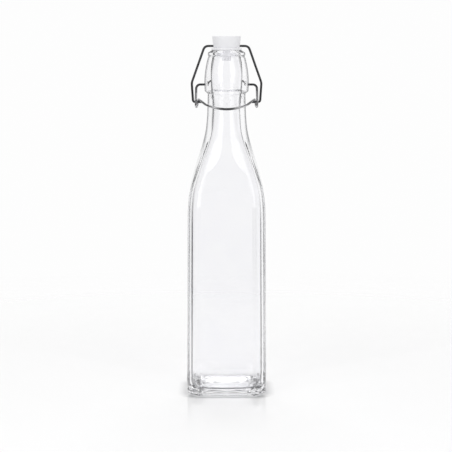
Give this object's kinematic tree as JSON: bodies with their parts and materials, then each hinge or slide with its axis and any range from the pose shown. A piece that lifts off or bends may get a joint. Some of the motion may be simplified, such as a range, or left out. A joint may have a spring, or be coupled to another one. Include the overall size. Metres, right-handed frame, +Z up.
{
  "type": "swing top bottle",
  "caption": "Clear square glass bottle with a long shoulder and round neck, closed by a hinged wire lever and bail that pull a white stopper and gasket onto the lip.",
  "frame": {"origin": "middle of the base on the surface that the bottle stands on", "axes": "+Z up along the bottle's axis, -Y to the front where the lever's thumb bow is, +X to the right"},
  "size_m": [0.0688, 0.0688, 0.3096],
  "materials": {
    "clear_glass": "clear, fire polished, with a knurled bearing ring",
    "white_plastic": "satin moulded white",
    "silicone": "translucent white, matt",
    "steel_wire": "bright drawn stainless wire"
  },
  "bodies": {
    "bottle": {"glass_bottle": "clear_glass"},
    "lever": {"lever_wire": "steel_wire"},
    "bail": {"bail_wire": "steel_wire"},
    "stopper_set": {"stopper": "white_plastic", "gasket": "silicone"}
  },
  "joints": [
    {"name": "lever_swing", "type": "hinge", "parent": "bottle", "child": "lever", "pos_m": [0, 0, 0.268], "axis": [-1, 0, 0], "range_deg": [0, 180]},
    {"name": "bail_swing", "type": "hinge", "parent": "lever", "child": "bail", "pos_m": [0, 0.0008, 0.2528], "axis": [-1, 0, 0], "range_deg": [-126, 0]},
    {"name": "stopper_tilt", "type": "hinge", "parent": "bail", "child": "stopper_set", "pos_m": [0, 0, 0.3012], "axis": [-1, 0, 0], "range_deg": [-54, 0]}
  ],
  "couplings": [
    {"joint": "bail_swing", "follows": "lever_swing", "ratio": -0.7},
    {"joint": "stopper_tilt", "follows": "lever_swing", "ratio": -0.3}
  ]
}
